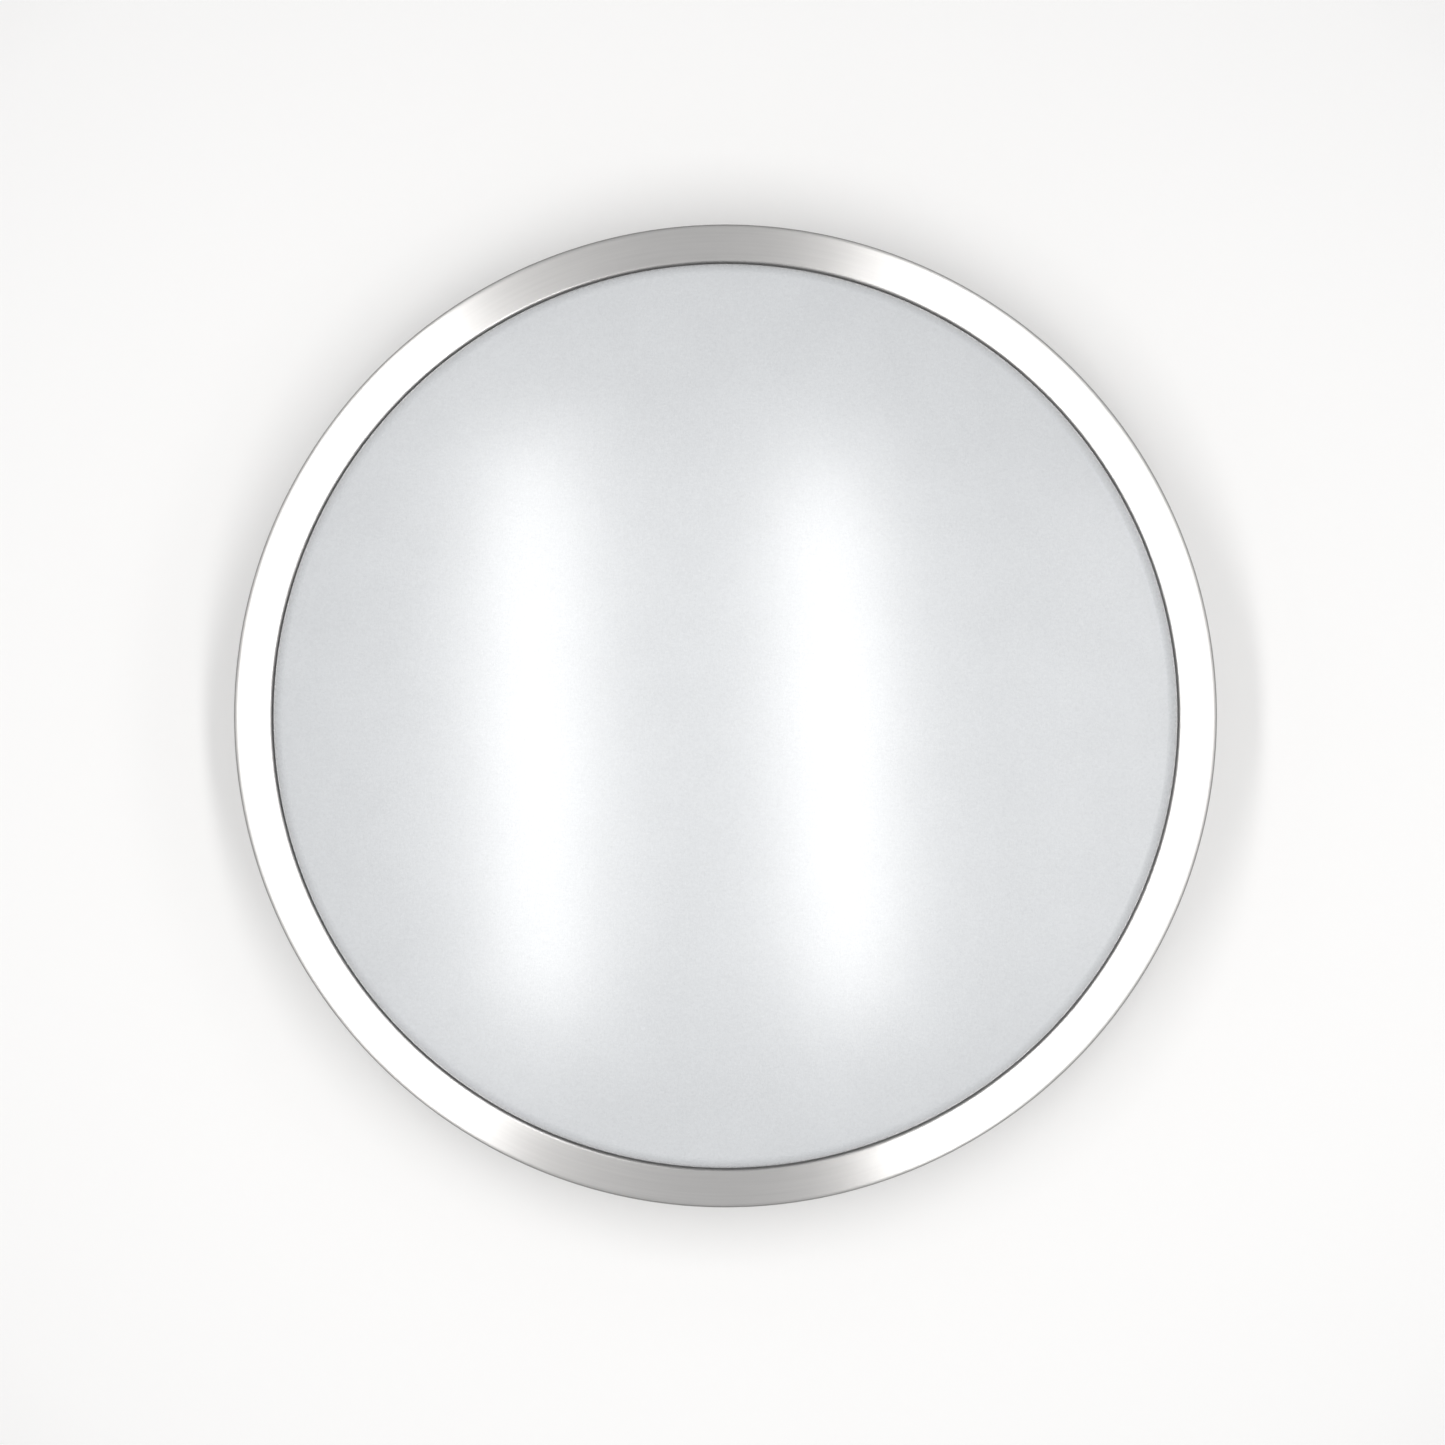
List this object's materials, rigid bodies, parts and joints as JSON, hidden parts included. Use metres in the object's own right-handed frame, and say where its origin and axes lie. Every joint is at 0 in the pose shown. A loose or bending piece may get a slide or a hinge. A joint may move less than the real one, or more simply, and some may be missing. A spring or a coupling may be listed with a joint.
{
  "type": "round illuminated sign",
  "caption": "Round surface-mounted lighted sign: a blank opal dome in a brushed metal ring that pulls off a shallow pan holding LED light engine, power supply and lever terminal.",
  "frame": {"origin": "centre of the flat back of the pan, on the surface that the sign lies on", "axes": "+Z out of the lit face; +Y is up when the sign hangs on a wall by its keyhole slots; +X to the right seen from the front"},
  "size_m": [0.33, 0.33, 0.06],
  "materials": {
    "ring_nickel": "satin nickel, brushed round the ring",
    "dome_opal": "opal white with a soft gloss",
    "gasket_foam": "matt closed-cell foam",
    "pan_enamel": "white baked enamel",
    "spring_steel": "rolled spring steel",
    "zinc_plate": "bright zinc plate",
    "green_screw": "green-dyed zinc",
    "bush_rubber": "black moulded bush",
    "board_white": "white mask over an aluminium core",
    "board_green": "green circuit board",
    "white_nylon": "moulded white plastic",
    "grey_nylon": "moulded grey plastic",
    "lever_orange": "moulded orange plastic",
    "transformer_tape": "yellow tape over a ferrite core",
    "capacitor_sleeve": "dark shrink sleeve",
    "choke_winding": "varnished copper wire on a ring core",
    "wire_black": "black insulation",
    "wire_white": "white insulation",
    "wire_green": "green insulation",
    "wire_red": "red insulation"
  },
  "bodies": {
    "housing": {"back_pan": "pan_enamel", "inlet_bushing": "bush_rubber", "spring_clip_1": "spring_steel", "spring_rivet_1": "zinc_plate", "spring_clip_2": "spring_steel", "spring_rivet_2": "zinc_plate", "spring_clip_3": "spring_steel", "spring_rivet_3": "zinc_plate", "led_board": "board_white", "board_screw_1": "zinc_plate", "board_screw_2": "zinc_plate", "board_screw_3": "zinc_plate", "board_screw_4": "zinc_plate", "board_screw_5": "zinc_plate", "board_screw_6": "zinc_plate", "board_connector": "white_nylon", "driver_base": "white_nylon", "driver_cover": "white_nylon", "driver_board": "board_green", "driver_transformer": "transformer_tape", "driver_capacitor": "capacitor_sleeve", "driver_choke": "choke_winding", "driver_screw_left": "zinc_plate", "driver_screw_right": "zinc_plate", "terminal_body": "grey_nylon", "terminal_screw": "zinc_plate", "ground_lug": "zinc_plate", "ground_screw": "green_screw", "line_wire": "wire_black", "neutral_wire": "wire_white", "ground_wire": "wire_green", "led_wire_plus": "wire_red", "led_wire_minus": "wire_black"},
    "face": {"trim_ring": "ring_nickel", "dome_lens": "dome_opal", "lens_gasket": "gasket_foam", "lens_clip_1": "spring_steel", "lens_clip_2": "spring_steel", "lens_clip_3": "spring_steel", "lens_clip_4": "spring_steel"},
    "lever_line": {"terminal_lever_line": "lever_orange"},
    "lever_neutral": {"terminal_lever_neutral": "lever_orange"},
    "lever_ground": {"terminal_lever_ground": "lever_orange"}
  },
  "joints": [
    {"name": "face_lift", "type": "slide", "parent": "housing", "child": "face", "axis": [0, 0, 1], "range_m": [0, 0.06]},
    {"name": "lever_line_open", "type": "hinge", "parent": "housing", "child": "lever_line", "pos_m": [-0.0066, -0.046, 0.0103], "axis": [1, 0, 0], "range_deg": [0, 85]},
    {"name": "lever_neutral_open", "type": "hinge", "parent": "housing", "child": "lever_neutral", "pos_m": [0, -0.046, 0.0103], "axis": [1, 0, 0], "range_deg": [0, 85]},
    {"name": "lever_ground_open", "type": "hinge", "parent": "housing", "child": "lever_ground", "pos_m": [0.0066, -0.046, 0.0103], "axis": [1, 0, 0], "range_deg": [0, 85]}
  ]
}
